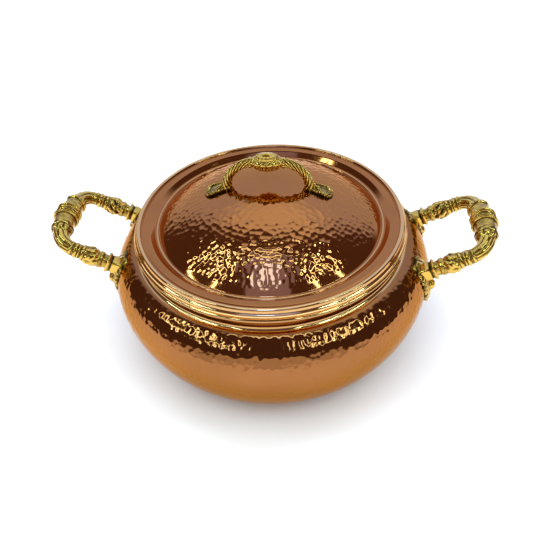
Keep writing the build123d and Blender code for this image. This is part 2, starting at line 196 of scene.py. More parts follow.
def turned(faces):
    """The same faces, looking the other way."""
    return [face[::-1] for face in faces]


def mirrored(vertices, faces, axis):
    """The same shape on the other side of the middle plane square to an axis."""
    other = np.array(vertices)
    other[:, axis] *= -1
    return other, turned(faces)


def round_angles(count):
    """That many angles, evenly round a circle."""
    return np.arange(count) * 2 * pi / count


# ---------------------------------------------------------------- hammer marks
MARK_PITCH = 5.2            # between neighbouring blows
MARK_BOWL = 0.026           # how hollow each mark is, per millimetre
MARK_TILT = 0.032           # slope that a blow may be off by
MARK_DEPTH = 0.020          # depth that a blow may be off by
MARK_LEVEL = MARK_BOWL * MARK_PITCH**2 / 8
MARK_AROUND = 0.21          # how far a blow may be off along its ring, as a share of the spacing
MARK_UP = 0.20              # and across it
MARK_RISE = 0.6             # how much of being off across the ring is height
RING_SPACING = 0.88         # of the pitch, between rings of blows
NEAREST_MARKS = 4


def hammer_marks(profile, mask, seed):
    """Blows in rings round a profile: a search tree, and the place, tilt and depth of each."""
    rng = np.random.default_rng(seed)
    length = np.r_[0, np.cumsum(np.linalg.norm(np.diff(profile, axis=0), axis=1))]
    places, tilts, depths = [], [], []
    travelled = length[mask > 0].min()
    while travelled < length[mask > 0].max():
        r = np.interp(travelled, length, profile[:, 0])
        z = np.interp(travelled, length, profile[:, 1])
        count = max(1, int(2 * pi * r / MARK_PITCH))
        angles = (np.arange(count) + rng.random() + rng.normal(0, MARK_AROUND, count)) * 2 * pi / count
        lift = rng.normal(0, MARK_UP, count) * MARK_PITCH
        places.append(np.stack([r * np.cos(angles), r * np.sin(angles), z + lift * MARK_RISE], 1))
        tilts.append(rng.normal(0, MARK_TILT, (count, 3)))
        depths.append(rng.normal(0, MARK_DEPTH, count))
        travelled += MARK_PITCH * RING_SPACING
    places = np.concatenate(places)
    tree = kdtree.KDTree(len(places))
    for i, place in enumerate(places):
        tree.insert(place, i)
    tree.balance()
    return tree, places, np.concatenate(tilts), np.concatenate(depths)


def hammered_height(points, marks):
    """How far the planished surface stands off the smooth one at each point: the lowest bowl there."""
    tree, places, tilts, depths = marks
    near = np.array([[hit[1] for hit in tree.find_n(p, NEAREST_MARKS)] for p in points.tolist()])
    offset = points[:, None, :] - places[near]
    bowl = MARK_BOWL * (offset**2).sum(-1) + (offset * tilts[near]).sum(-1) + depths[near]
    return bowl.min(1) - MARK_LEVEL


def row_faces(first, count, second, other):
    """Faces between two rings of points, the second with as many points, half as many or twice as many."""
    j = np.arange(min(count, other))
    k = (j + 1) % len(j)
    if count == other:
        return np.stack([first + j, first + k, second + k, second + j], 1).tolist()
    fine, rough = (first, second) if count > other else (second, first)
    left, middle, right = fine + 2 * j, fine + 2 * j + 1, fine + 2 * k
    corners = [(left, middle, rough + j), (middle, rough + k, rough + j), (middle, right, rough + k)]
    faces = np.concatenate([np.stack(c, 1) for c in corners])
    if count < other:
        faces = faces[:, ::-1]
    return faces.tolist()


def lathe(name, profile, mask, level, columns, marks, material, relief):
    """A closed, spun shape from a half profile that starts and ends on the axis, hammered where masked."""
    slope = np.gradient(profile, axis=0)
    slope /= np.maximum(np.linalg.norm(slope, axis=1, keepdims=True), 1e-9)
    rows, faces, starts, counts = [], [], [], []
    total = 0
    for i in range(1, len(profile) - 1):
        count = columns >> int(level[i])
        angles = round_angles(count)
        ring = np.stack([np.cos(angles), np.sin(angles)], 1)
        flat = np.full((count, 1), profile[i, 1])
        spots = np.hstack([profile[i, 0] * ring, flat])
        if mask[i] > 0:
            normals = np.hstack([slope[i, 1] * ring, np.full((count, 1), -slope[i, 0])])
            spots = spots + normals * (hammered_height(spots, marks) * mask[i])[:, None]
        if rows:
            faces += row_faces(starts[-1], counts[-1], total, count)
        rows.append(spots)
        starts.append(total)
        counts.append(count)
        total += count
    for end, (start, count) in enumerate(((0, counts[0]), (starts[-1], counts[-1]))):
        for j in range(count):
            here, there = start + j, start + (j + 1) % count
            faces.append([total + end, there, here] if end == 0 else [total + end, here, there])
    tips = [(0, 0, profile[0, 1]), (0, 0, profile[-1, 1])]
    tone = np.concatenate([np.repeat(relief[1:-1], counts), relief[:1], relief[-1:]])
    return make_object(name, np.concatenate(rows + [tips]), faces, material, tone)


def crests(profile, rings):
    """Relief along a profile, for a painted highlight on the rings' crests: each ring says its centre, its
    half width, its foot's height and how strong its painted highlight is.
    """
    relief = np.zeros(len(profile))
    # Each ring's crest is raised towards 1, which paints the highlight colour there.
    for centre, half, foot, wear_and_highlight in rings:
        bead = wear_and_highlight * rounded(profile[:, 0], centre, half) * (profile[:, 1] > foot)
        relief = np.maximum(relief, bead)
    return relief


# ---------------------------------------------------------------- node material helpers
def node_maker(tree):
    """A short way to add a node to a tree and set what it does."""

    def node(kind, **values):
        made = tree.nodes.new(kind)
        for key, value in values.items():
            setattr(made, key, value)
        return made

    return node


def new_material(name):
    """An empty node material and short ways to add a node and a link."""
    material = bpy.data.materials.new(name)
    material.use_nodes = True
    tree = material.node_tree
    tree.nodes.clear()
    return material, node_maker(tree), tree.links.new


def feed(link, value, socket):
    """Put another node's output, a colour or a number into a socket."""
    if isinstance(value, bpy.types.NodeSocket):
        link(value, socket)
    elif isinstance(value, tuple):
        socket.default_value = (*value, 1)
    else:
        socket.default_value = value


def mixed(node, link, factor, dark, light):
    """A colour between two, by a factor socket."""
    mix = node("ShaderNodeMix", data_type="RGBA")
    link(factor, mix.inputs[0])
    feed(link, dark, mix.inputs[6])
    feed(link, light, mix.inputs[7])
    return mix.outputs[2]


def maths(node, link, operation, *values):
    """The result of a sum on sockets and numbers."""
    made = node("ShaderNodeMath", operation=operation)
    for value, socket in zip(values, made.inputs):
        feed(link, value, socket)
    return made.outputs[0]


def scaled(node, link, socket, low, high, start=0.0, end=1.0, way="LINEAR"):
    """A value moved from one range to another."""
    span = node("ShaderNodeMapRange", interpolation_type=way)
    link(socket, span.inputs[0])
    for index, value in enumerate((start, end, low, high), 1):
        span.inputs[index].default_value = value
    return span.outputs[0]


def bumped(node, link, height, strength, distance, under=None):
    """A bump on top of another, if there is one."""
    bump = node("ShaderNodeBump")
    bump.inputs["Strength"].default_value = strength
    bump.inputs["Distance"].default_value = distance
    link(height, bump.inputs["Height"])
    if under:
        link(under, bump.inputs["Normal"])
    return bump.outputs[0]


def cloud(node, link, coordinates, scale, detail=3.0):
    """Soft noise over the object's own coordinates."""
    texture = node("ShaderNodeTexNoise")
    texture.inputs["Scale"].default_value = scale
    texture.inputs["Detail"].default_value = detail
    link(coordinates, texture.inputs["Vector"])
    return texture.outputs["Fac"]


def spun_lines(node, link, coordinates, per_metre):
    """Fine polishing lines that run round the kettle: noise over distance from its axis and height."""
    split = node("ShaderNodeSeparateXYZ")
    link(coordinates, split.inputs[0])
    flat = node("ShaderNodeCombineXYZ")
    link(split.outputs[0], flat.inputs[0])
    link(split.outputs[1], flat.inputs[1])
    radius = node("ShaderNodeVectorMath", operation="LENGTH")
    link(flat.outputs[0], radius.inputs[0])
    place = node("ShaderNodeCombineXYZ")
    link(radius.outputs["Value"], place.inputs[0])
    link(split.outputs[2], place.inputs[1])
    return cloud(node, link, place.outputs[0], per_metre, SPUN_DETAIL)


SPUN_LINES, SPUN_DETAIL, SPUN_DEPTH = 900.0, 4.0, 0.0002
PITS, PIT_DEPTH = 1400.0, 0.0003
WEAR_FINENESS = 9           # patches of wear are that much smaller than patches of tone
LACQUER_TINT = (1.0, 0.70, 0.42)


def metal(name, dark, light, rough, patch_scale, line_strength=0.0, pit_strength=0.0, lacquer=0.0,
          crest=None):
    """A polished metal with patches of tone, fine spun lines and pits, under a thin lacquer.

    Where the mesh says how high it stands, its crests get a painted highlight in another colour.
    """
    material, node, link = new_material(name)
    place = node("ShaderNodeTexCoord").outputs["Object"]
    patches = cloud(node, link, place, patch_scale)
    shader = node("ShaderNodeBsdfPrincipled")
    shader.inputs["Metallic"].default_value = 1.0
    shader.inputs["Coat Weight"].default_value = lacquer
    if lacquer:
        feed(link, LACQUER_TINT, shader.inputs["Specular Tint"])
    tone = mixed(node, link, scaled(node, link, patches, 0, 1, 0.32, 0.68), dark, light)
    if crest:
        relief = node("ShaderNodeAttribute", attribute_name="relief").outputs["Fac"]
        tone = mixed(node, link, relief, tone, crest)
    link(tone, shader.inputs["Base Color"])
    wear_and_highlight = cloud(node, link, place, patch_scale * WEAR_FINENESS)
    link(scaled(node, link, wear_and_highlight, rough[0], rough[1], 0.3, 0.7), shader.inputs["Roughness"])
    normal = None
    if line_strength:
        lines = spun_lines(node, link, place, SPUN_LINES)
        normal = bumped(node, link, lines, line_strength, SPUN_DEPTH)
    if pit_strength:
        normal = bumped(node, link, cloud(node, link, place, PITS), pit_strength, PIT_DEPTH, normal)
    if normal:
        link(normal, shader.inputs["Normal"])
    link(shader.outputs[0], node("ShaderNodeOutputMaterial").inputs[0])
    return material


# Brass colours: a painted shade, nearly black, for the crevices, and the brass's own colour on the crests.
BRASS_CREVICE_SHADE, BRASS_CREST = (0.050, 0.026, 0.004), (0.74, 0.47, 0.09)
BRASS_DULL, BRASS_BRIGHT = 0.50, 0.15
GRIME_SCALE, GRIME_SHARE = 260.0, 0.7
CAST_PITS, CAST_DETAIL, CAST_STRENGTH, CAST_DEPTH = 700.0, 5.0, 0.28, 0.0005


def cast_brass(name):
    """Polished cast brass, finely pitted and in random patches of grime: its own bright colour on the crests,
    painted shade in the crevices, which are also duller.
    """
    material, node, link = new_material(name)
    place = node("ShaderNodeTexCoord").outputs["Object"]
    relief = node("ShaderNodeAttribute", attribute_name="relief").outputs["Fac"]
    # Random grime patches on top of the relief, which sets the painted shade in the crevices.
    grime_and_shade = maths(node, link, "MULTIPLY_ADD", cloud(node, link, place, GRIME_SCALE), GRIME_SHARE, relief)
    height = scaled(node, link, grime_and_shade, 0, 1, 0.55, 1.05)
    shader = node("ShaderNodeBsdfPrincipled")
    shader.inputs["Metallic"].default_value = 1.0
    link(mixed(node, link, height, BRASS_CREVICE_SHADE, BRASS_CREST), shader.inputs["Base Color"])
    link(scaled(node, link, height, BRASS_DULL, BRASS_BRIGHT), shader.inputs["Roughness"])
    pits = cloud(node, link, place, CAST_PITS, CAST_DETAIL)
    link(bumped(node, link, pits, CAST_STRENGTH, CAST_DEPTH), shader.inputs["Normal"])
    link(shader.outputs[0], node("ShaderNodeOutputMaterial").inputs[0])
    return material


# A painted highlight, pale gold, on the crests of the copper's beads and rings.
copper_crest_highlight = (0.93, 0.60, 0.24)
pot_copper = metal("copper_hammered", (0.32, 0.122, 0.034), (0.37, 0.143, 0.042), (0.05, 0.11), 14.0,
                   pit_strength=0.03, lacquer=0.12, crest=copper_crest_highlight)
lid_copper = metal("copper_lid", (0.42, 0.152, 0.036), (0.48, 0.176, 0.044), (0.05, 0.10), 16.0,
                   line_strength=0.03, pit_strength=0.03, lacquer=0.25, crest=copper_crest_highlight)
tin_lining = metal("bright_lining", (0.60, 0.59, 0.56), (0.72, 0.71, 0.69), (0.22, 0.36), 20.0,
                   line_strength=0.25)
plain_steel = metal("plain_steel", (0.42, 0.42, 0.43), (0.55, 0.55, 0.56), (0.25, 0.4), 60.0,
                    pit_strength=0.1)
brass = cast_brass("cast_brass")


# ---------------------------------------------------------------- pot and lid
POT_STEP, POT_COLUMNS, POT_SEED = 1.0, 896, 11
LID_STEP, LID_COLUMNS, LID_SEED = 0.9, 720, 12


def pot_profile(step):
    """Half outline of the pot's wall: base, belly, shoulder, neck, rolled rim and back down inside."""
    rim_drop = -sqrt(curl_radius**2 - (neck_radius - rim_radius) ** 2)
    curl_start = degrees(atan2(rim_drop, neck_radius - rim_radius))
    inside = neck_radius - wall
    coarse, fine, flat_step = 4.0, 0.6, 12.0
    heel_hammering, low_hammering = 0.3, 0.5
    band_start = 12.0
    shoulder_stop = cove_angle - 12
    half_base = (heel_centre[0] * 0.5, 0)
    return joined(
        (line((0, 0), half_base, flat_step), 0, 3),
        (line(half_base, (heel_centre[0], 0), flat_step), 0, 2),
        (arc(heel_centre, heel_bend, -90, -lower_turn, 2 * step), heel_hammering, 1),
        (arc(lower_centre, lower_bend, -lower_turn, -band_start, 2 * step), low_hammering, 1),
        (arc(lower_centre, lower_bend, -band_start, 0, step), 1, 0),
        (arc(upper_centre, upper_bend, 0, upper_turn, step), 1, 0),
        (arc(shoulder_centre, shoulder_bend, upper_turn, shoulder_stop, step), 1, 0),
        (arc(shoulder_centre, shoulder_bend, shoulder_stop, cove_angle, step), 0, 0),
        (arc(cove_centre, cove, 180 + cove_angle, 180, fine), 0, 1),
        (line((neck_radius, cove_centre[1]), (neck_radius, rim_height - curl_radius), 1.0), 0, 1),
        (arc((rim_radius, rim_height), curl_radius, curl_start, 180, fine), 0, 1),
        (line((inside, rim_height), (inside, cove_centre[1]), coarse), 0, 2),
        (arc(cove_centre, cove + wall, 180, 180 + cove_angle, 1.5), 0, 2),
        (arc(shoulder_centre, shoulder_bend - wall, cove_angle, upper_turn, coarse), 0, 2),
        (arc(upper_centre, upper_bend - wall, upper_turn, 0, coarse), 0, 2),
        (arc(lower_centre, lower_bend - wall, 0, -lower_turn, coarse), 0, 2),
        (arc(heel_centre, heel_bend - wall, -lower_turn, -90, coarse), 0, 2),
        (line((heel_centre[0], wall), (0, wall), flat_step), 0, 3),
    )


def lid_profile(step):
    """Half outline of the lid: under side out to the edge, rolled edge, border, ring, gutter and dome."""
    coarse, fine = 4.0, 0.5
    hem = ridge_outer - 1.4
    gutter_outer = dome_foot_radius + gutter_width
    under = [
        arc((0, dome_centre), dome_radius - lid_wall, 90, 90 - dome_foot_slope, coarse),
        line((gutter_outer, gutter_top - lid_wall), (ring_inner, ring_top - lid_wall), coarse),
        line((ring_outer, ring_top - lid_wall), (border_inner, border_top - lid_wall), coarse),
        line((border_outer, border_top - lid_wall), (hem, border_top - lid_wall), 2.0),
        line((hem, border_top - lid_wall), (hem, lid_edge_height + 1.6), 2.0),
        arc((lid_edge_radius, lid_edge_height), curl_radius, 130, 418, fine),
    ]
    groove_top = border_top - border_groove
    over = [
        line((ridge_outer + 0.3, lid_edge_height + 2.4), (ridge_outer, border_top), 0.8),
        round_top(border_outer, ridge_outer, border_top, ridge_crown),
        line((border_outer - 0.1, groove_top), (border_outer - 1.1, groove_top), 0.4),
        line((border_outer - 1.8, border_top), (border_inner, border_top), 0.9),
        line((border_inner - 0.5, border_top - 0.15), (ring_outer + 0.2, ring_top), 0.9),
        round_top(ring_inner, ring_outer, ring_top, ring_crown),
        line((ring_inner - 0.1, ring_top - 0.1), (gutter_outer, gutter_top), 0.4),
    ]
    dome = arc((0, dome_centre), dome_radius, 90 - dome_foot_slope, 90, step)
    smooth_rows = int(dome_smooth_foot / step)
    foot, hammered = dome[:smooth_rows], dome[smooth_rows:]
    stretches = [(under[0][::2], 0, 3), *((p, 0, 2) for p in under[1:])]
    stretches += [(p, 0, 1) for p in over]
    stretches.append((foot, 0, 1))
    for outer, inner, hammering, level in dome_zones:
        zone = hammered[(hammered[:, 0] <= outer) & (hammered[:, 0] >= inner)]
        stretches.append((zone, hammering, level))
    return joined(*stretches)


def round_top(inner, outer, height, crown):
    """The round top of a ring on a profile, from its outer foot over to its inner one."""
    angles = np.linspace(0, pi, 9)
    middle, half = (inner + outer) / 2, (outer - inner) / 2
    return np.stack([middle + half * np.cos(angles), height + crown * np.sin(angles)], 1)


# The dome's zones: outer and inner radius, how hammered, and how coarse. It was planished smoother on top.
dome_zones = (
    (dome_radius, 48, 1, 0),
    (48, 36, 0.7, 1),
    (36, 24, 0.35, 1),
    (24, 12, 0.15, 2),
    (12, 0, 0.15, 3),
)


def build_pot():
    points, mask, level = pot_profile(POT_STEP)
    collar = 1.6            # half width of the band with a painted highlight at the top of the shoulder
    # The rim's bead and the band at the top of the shoulder get a painted highlight on their crests.
    rings = (
        (rim_radius, curl_radius, cove_centre[1], 1.0),
        (neck_radius + collar, collar, cove_centre[1] - cove, 0.9),
    )
    marks = hammer_marks(points, mask, POT_SEED)
    pot = lathe("hammered_pot", points, mask, level, POT_COLUMNS, marks, pot_copper, crests(points, rings))
    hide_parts("pot_shell")
    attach(pot, "pot")


def build_lid():
    points, mask, level = lid_profile(LID_STEP)
    half_wall = lid_wall / 2
    # The ring, the border's ridge and the rolled edge get a painted highlight on their crests.
    rings = (
        ((ring_inner + ring_outer) / 2, (ring_outer - ring_inner) / 2, ring_top - half_wall, 0.35),
        ((border_outer + ridge_outer) / 2, (ridge_outer - border_outer) / 2, border_top - half_wall, 0.7),
        (lid_edge_radius + curl_radius * 0.75, curl_radius * 0.9, lid_edge_height - curl_radius, 1.0),
    )
    marks = hammer_marks(points, mask, LID_SEED)
    lid = lathe("hammered_lid", points, mask, level, LID_COLUMNS, marks, lid_copper, crests(points, rings))
    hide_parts("lid_shell")
    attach(lid, "lid")


# ---------------------------------------------------------------- side handles
handle_out = np.array((cos(radians(handle_tilt)), 0, sin(radians(handle_tilt))))
handle_up = np.array((-sin(radians(handle_tilt)), 0, cos(radians(handle_tilt))))
handle_origin = np.array((handle_root[0], 0, handle_root[1]))
side = np.array((0.0, 1.0, 0.0))
bar_centre = loop_reach - bar_arc_radius
corner_y = leg_spacing / 2 - corner_radius
bar_half_angle = degrees(asin(corner_y / (bar_arc_radius - corner_radius)))
corner_x = bar_centre + (bar_arc_radius - corner_radius) * cos(radians(bar_half_angle))


def swept(path, across, radii):
    """Rings of points round a flat path, whose plane's normal is across, with a radius for each point."""
    along = np.gradient(path, axis=0)
    along /= np.linalg.norm(along, axis=1, keepdims=True)
    outward = np.cross(along, across)
    angles = round_angles(radii.shape[1])
    return path[:, None] + radii[..., None] * (
        np.cos(angles)[None, :, None] * across + np.sin(angles)[None, :, None] * outward[:, None]
    )


def rounded(distance, centre, half):
    """A round bead: 1 at its centre and 0 beyond its half width."""
    return np.sqrt(np.clip(1 - ((distance - centre) / half) ** 2, 0, 1))


def within(distance, start, end, edge=1.0):
    """1 between two distances, falling off smoothly over an edge."""
    rise = np.clip((distance - start) / edge, 0, 1)
    fall = np.clip((end - distance) / edge, 0, 1)
    return rise * fall


def lobes(angle, count, power=1.0):
    """Round lobes with sharp grooves between them: 0 in a groove and 1 on a lobe's back."""
    return np.abs(np.sin(count * angle / 2)) ** power


# The handle's outline: distance from the middle of its grip, and radius.
handle_outline = np.array([
    (0.0, 10.3), (6.6, 10.4), (8.6, 9.9), (13.0, 9.6), (17.6, 9.2), (19.4, 9.1), (21.0, 9.8), (23.0, 9.7),
    (25.0, 8.7), (27.2, 7.7), (31.0, 7.3), (38.0, 7.0), (44.0, 6.7), (48.0, 6.6), (58.6, 6.9), (60.4, 7.9),
    (64.0, 9.2), (68.0, 9.5), (71.4, 8.6), (73.4, 7.5), (74.6, 8.2), (77.0, 8.2), (78.4, 7.0), (82.0, 6.6),
])
# Raised rings: distance from the grip's middle, half width and height.
grip_rings = ((1.9, 1.0, 1.5), (5.1, 1.2, 1.9), (19.6, 0.9, 0.9))
leg_rings = ((47.0, 0.9, 0.6), (51.2, 1.5, 1.0), (53.9, 0.8, 0.5), (57.6, 1.3, 0.9))
# Fluted stretches: start, end, number of lobes, depth and twist.
flutings = ((20.2, 25.4, 9, 0.8, 0.0), (26.4, 46.4, 8, 1.0, 0.012), (59.6, 73.4, 7, 1.25, 0.06))
# Scrollwork: start, end and depth.
scrolls = ((14.0, 18.6, 0.30), (60.0, 73.0, 0.55))
groove_width, groove_depth = 0.8, 0.3   # beside each raised ring
LOOP_STEP, LOOP_COLUMNS = 0.42, 84
RIPPLE_SIZE, RIPPLE_SCALE = 0.22, 0.33


def handle_radii(distance, angle):
    """Radius of the cast handle and its relief, by distance from the grip's middle and angle round it."""
    d, a = np.abs(distance)[:, None], angle[None, :]
    petal_shift = 1.3 * lobes(a, 9, 0.8) * within(d, 20.0, 27.5, 3)
    radius = np.interp(d + 0.9 - petal_shift, handle_outline[:, 0], handle_outline[:, 1])
    # Relief drops in the grooves and flutes, where the brass gets painted shade.
    relief = np.full(radius.shape, 0.55)
    for centre, half, height in grip_rings + leg_rings:
        bead = rounded(d, centre, half)
        radius = radius + height * bead
        relief += 0.5 * bead
        reach = half + groove_width
        groove = within(d, centre - reach, centre + reach, 0.5) * (bead == 0)
        radius = radius - groove_depth * groove
        relief -= 0.5 * groove
    for start, end, count, depth, twist in flutings:
        zone = within(d, start, end, 1.6)
        lobe = lobes(a + twist * (d - start), count, 0.7)
        radius = radius - zone * depth * (1 - lobe)
        relief = relief * (1 - zone) + zone * (0.05 + 0.95 * lobe)
    scroll = np.sin(3 * a + 0.62 * d) * np.sin(0.55 * d + 2 * a)
    for start, end, depth in scrolls:
        zone = within(d, start, end, 1.5)
        radius = radius + depth * scroll * zone
        relief += 0.5 * scroll * zone
    return radius, np.clip(relief, 0, 1)


def handle_path(step):
    """The loop's middle line, and each point's distance from the middle of the grip."""
    leg = leg_spacing / 2
    flat = np.concatenate([
        line((block_end - 2, -leg), (corner_x, -leg), step)[:-1],
        arc((corner_x, -corner_y), corner_radius, -90, -bar_half_angle, step)[:-1],
        arc((bar_centre, 0), bar_arc_radius, -bar_half_angle, bar_half_angle, step)[:-1],
        arc((corner_x, corner_y), corner_radius, bar_half_angle, 90, step)[:-1],
        line((corner_x, leg), (block_end - 2, leg), step),
    ])
    length = np.r_[0, np.cumsum(np.linalg.norm(np.diff(flat, axis=0), axis=1))]
    path = handle_origin + flat[:, :1] * handle_out + flat[:, 1:] * side
    return path, length - length[-1] / 2


def cast_ripple(vertices, size, scale):
    """Small uneven moves of a casting's surface, as values for each point."""
    return np.array([noise.noise(Vector(v) * scale) for v in vertices.tolist()]) * size


def build_handles():
    path, distance = handle_path(LOOP_STEP)
    radii, relief = handle_radii(distance, round_angles(LOOP_COLUMNS))
    rings = swept(path, handle_up, radii)
    ripple = cast_ripple(rings.reshape(-1, 3), RIPPLE_SIZE, RIPPLE_SCALE).reshape(radii.shape)
    rings = swept(path, handle_up, radii + ripple)
    vertices, faces = closed_tube(rings)
    relief = np.r_[relief.ravel(), 0.3, 0.3]
    for name, shape in (("right", (vertices, faces)), ("left", mirrored(vertices, faces, 0))):
        loop = make_object(f"{name}_cast_loop", *shape, brass, relief)
        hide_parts(f"{name}_handle_loop")
        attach(loop, "pot")


# ---------------------------------------------------------------- handle feet
foot_angle = asin(leg_spacing / 2 / belly_radius)
foot_out = np.array((cos(foot_angle), -sin(foot_angle), 0))
foot_across = np.array((sin(foot_angle), cos(foot_angle), 0))
foot_thickness = 3.2
foot_top, foot_tip = 104.0, 57.0
foot_sunk = 0.4             # how far the leaf's back goes into the belly, so that no gap shows
leaf_outline = np.array([   # height and half width
    (57.0, 0.0), (60.0, 2.6), (65.0, 5.4), (71.0, 8.4), (78.0, 11.4), (85.0, 12.9), (92.0, 12.8),
    (98.0, 11.4), (104.0, 9.4),
])
rivet_height = 80.0
rivet_outline = (           # distance along the rivet from the pot's skin, and radius
    (-4.0, 0.6), (-3.9, 3.7), (-2.8, 3.7), (-2.7, 2.4), (2.4, 2.4), (2.5, 5.6), (3.4, 6.2),
    (4.2, 5.9), (4.5, 4.9), (4.9, 5.0), (6.0, 4.6), (7.0, 3.6), (7.7, 2.2), (8.0, 0.6),
)


def skin_radius(height):
    """The pot's outer radius at a height on the belly or shoulder."""
    profile, _, _ = pot_profile(POT_STEP)
    outer = profile[: int(np.argmax(profile[:, 1]))]
    climbing = np.maximum.accumulate(outer[:, 1]) == outer[:, 1]
    return np.interp(height, outer[climbing, 1], outer[climbing, 0])


def leaf_width(height):
    """Half width of the leaf-shaped foot at a height, pointed at its tip."""
    return np.interp(height, leaf_outline[:, 0], leaf_outline[:, 1])


def leaf_plate():
    """The ribbed leaf that lies on the belly, front right."""
    heights = np.linspace(foot_tip + 0.05, foot_top, 96)
    across = np.linspace(-1, 1, 61)
    h, v = np.meshgrid(heights, across, indexing="ij")
    scallops = 0.06 * np.sin(h * 1.35) * (h < 97)
    sideways = v * (leaf_width(h) * (1 + scallops))
    veins = np.abs(np.sin(0.62 * (h + np.abs(sideways) * 1.1)))
    midrib = np.exp(-((sideways / 1.3) ** 2))
    border = np.clip((np.abs(v) - 0.8) / 0.2, 0, 1)
    crown = 0.62 + 0.38 * (1 - v**2)
    vein_height, midrib_height, edge_drop = 0.55, 0.9, 1.3
    ribs = foot_thickness * crown + vein_height * veins * (1 - border)
    thickness = ribs + midrib_height * midrib - edge_drop * border**2
    # Painted shade between the veins and towards the drooping edge, lighter on the midrib.
    relief = np.clip(0.15 + 0.6 * veins + 0.5 * midrib - 0.2 * border, 0, 1)
    radius = skin_radius(heights)[:, None]
    sheets = []
    for rise in (thickness, np.full(thickness.shape, -foot_sunk)):
        outward = np.sqrt((radius + rise) ** 2 - sideways**2)
        level_part = outward[..., None] * foot_out + sideways[..., None] * foot_across
        sheets.append(level_part + h[..., None] * [0, 0, 1])
    rings = np.concatenate([sheets[0], sheets[1][:, ::-1]], axis=1)
    vertices, faces = closed_tube(rings)
    # The back against the belly is painted in shade.
    tone = np.concatenate([relief, np.full(relief.shape, 0.1)], axis=1).ravel()
    return vertices, turned(faces), np.r_[tone, 0.1, 0.1]


def leg_block():
    """The trapezoid block that joins the loop's leg to the leaf, front right."""
    along = np.array([-17, -10, -4, -1.5, -0.6, 0.6, 2.6, 3.6, 4.2, 4.6])
    size = np.array([0.95, 0.98, 1.0, 1.0, 0.90, 0.90, 1.12, 1.12, 0.98, 0.6])
    count = 64
    angles = round_angles(count)
    squareness = 5.0
    powers = np.abs(np.cos(angles)) ** squareness + np.abs(np.sin(angles)) ** squareness
    reach = 1 / powers ** (1 / squareness)
    half_width, half_depth = 6.6, 7.4
    rows = []
    for u, k in zip(along, size):
        centre = handle_origin + u * handle_out - leg_spacing / 2 * side
        rows.append(centre + (k * half_width * reach * np.sin(angles))[:, None] * side
                    + (k * half_depth * reach * np.cos(angles))[:, None] * handle_up)
    vertices, faces = closed_tube(np.array(rows))
    # Painted shade where the block narrows.
    relief = np.repeat(np.where(size < 0.95, 0.2, 0.75), count)
    return vertices, faces, np.r_[relief, 0.5, 0.5]


def build_feet():
    vertices, faces, relief = merged([leaf_plate(), leg_block()])
    shapes = {"right_front": (vertices, faces), "right_rear": mirrored(vertices, faces, 1)}
    for corner in ("front", "rear"):
        shapes[f"left_{corner}"] = mirrored(*shapes[f"right_{corner}"], 0)
    for name, shape in shapes.items():
        foot = make_object(f"{name}_leaf_foot", *shape, brass, relief)
        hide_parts(f"{name}_foot")
        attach(foot, "pot")


def rivet_shape():
    """A domed rivet with a ring of petals under its head, and its peened end inside the pot."""
    rise = asin((rivet_height - belly_height) / upper_bend)
    skin = upper_centre[0] + upper_bend * cos(rise)
    axis = foot_out * cos(rise) + np.array((0, 0, sin(rise)))
    up = np.cross(foot_across, axis)
    base = foot_out * skin + np.array((0, 0, rivet_height))
    angles = round_angles(56)
    petal_count, petal_depth = 8, 0.13
    petals = 1 - petal_depth * (1 - lobes(angles, petal_count, 0.7))
    rows, relief = [], []
    for along, radius in rivet_outline:
        ring = radius * (petals if 2.45 < along < 4.3 else np.ones(len(angles)))
        rows.append(base + along * axis + (ring * np.cos(angles))[:, None] * foot_across
                    + (ring * np.sin(angles))[:, None] * up)
        # Painted shade in the groove under the head.
        relief.append(np.full(len(angles), 0.15 if 4.3 < along < 4.7 else 0.95))
    vertices, faces = closed_tube(np.array(rows))
    return vertices, faces, np.r_[np.concatenate(relief), 0.9, 0.9]


def build_rivets():
    vertices, faces, relief = rivet_shape()
    parts = []
    for flip_x in (False, True):
        for flip_y in (False, True):
            shape = (vertices, faces)
            if flip_x:
                shape = mirrored(*shape, 0)
            if flip_y:
                shape = mirrored(*shape, 1)
            parts.append((*shape, relief))
    vertices, faces, relief = merged(parts)
    rivets = make_object("petal_rivets", vertices, faces, brass, relief)
    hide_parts("handle_rivets")
    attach(rivets, "pot")


# ---------------------------------------------------------------- bail
strand_count = 8
rope_lead = 38.0            # length of one full twist
rope_end = (47.0, 157.0)    # where the rope's middle line ends, in its foot
fan_start, fan_length = 34.5, 25.0
fan_sunk = 0.5              # how far the foot's underside goes into the dome


def rope_arm():
    """The twisted rope from the boss down to the foot, where it splays out, right side."""
    centre = np.array((bail_span / 2 - bail_rise, bail_axis_height - bail_rise))
    bend = arc(centre, bail_rise, 97, 6, 0.4)
    foot_start = bend[-1]
    t = np.linspace(0, 1, 26)[1:, None]
    bent = foot_start + (0.2, -4.2)
    splay = (1 - t) ** 2 * foot_start + 2 * t * (1 - t) * bent + t**2 * np.array(rope_end)
    flat = np.concatenate([bend, splay])
    path = np.stack([flat[:, 0], np.zeros(len(flat)), flat[:, 1]], 1)
    length = np.r_[0, np.cumsum(np.linalg.norm(np.diff(flat, axis=0), axis=1))]
    turn = 2 * pi * length[:, None] / rope_lead
    lobe = lobes(round_angles(84)[None, :] - turn, strand_count, 0.75)
    thicker, thinner = np.clip((length - 34) / 10, 0, 1), np.clip((length - 46) / 8, 0, 1)
    swell = 1 + 0.32 * thicker - 0.45 * thinner     # towards its foot, and then inside it
    radii = rope_radius * swell[:, None] * (0.80 + 0.40 * lobe)
    vertices, faces = closed_tube(swept(path, side, radii))
    # Painted shade in the grooves between the strands.
    return vertices, faces, np.r_[(1.25 * lobe - 0.25).ravel(), 0.4, 0.4]


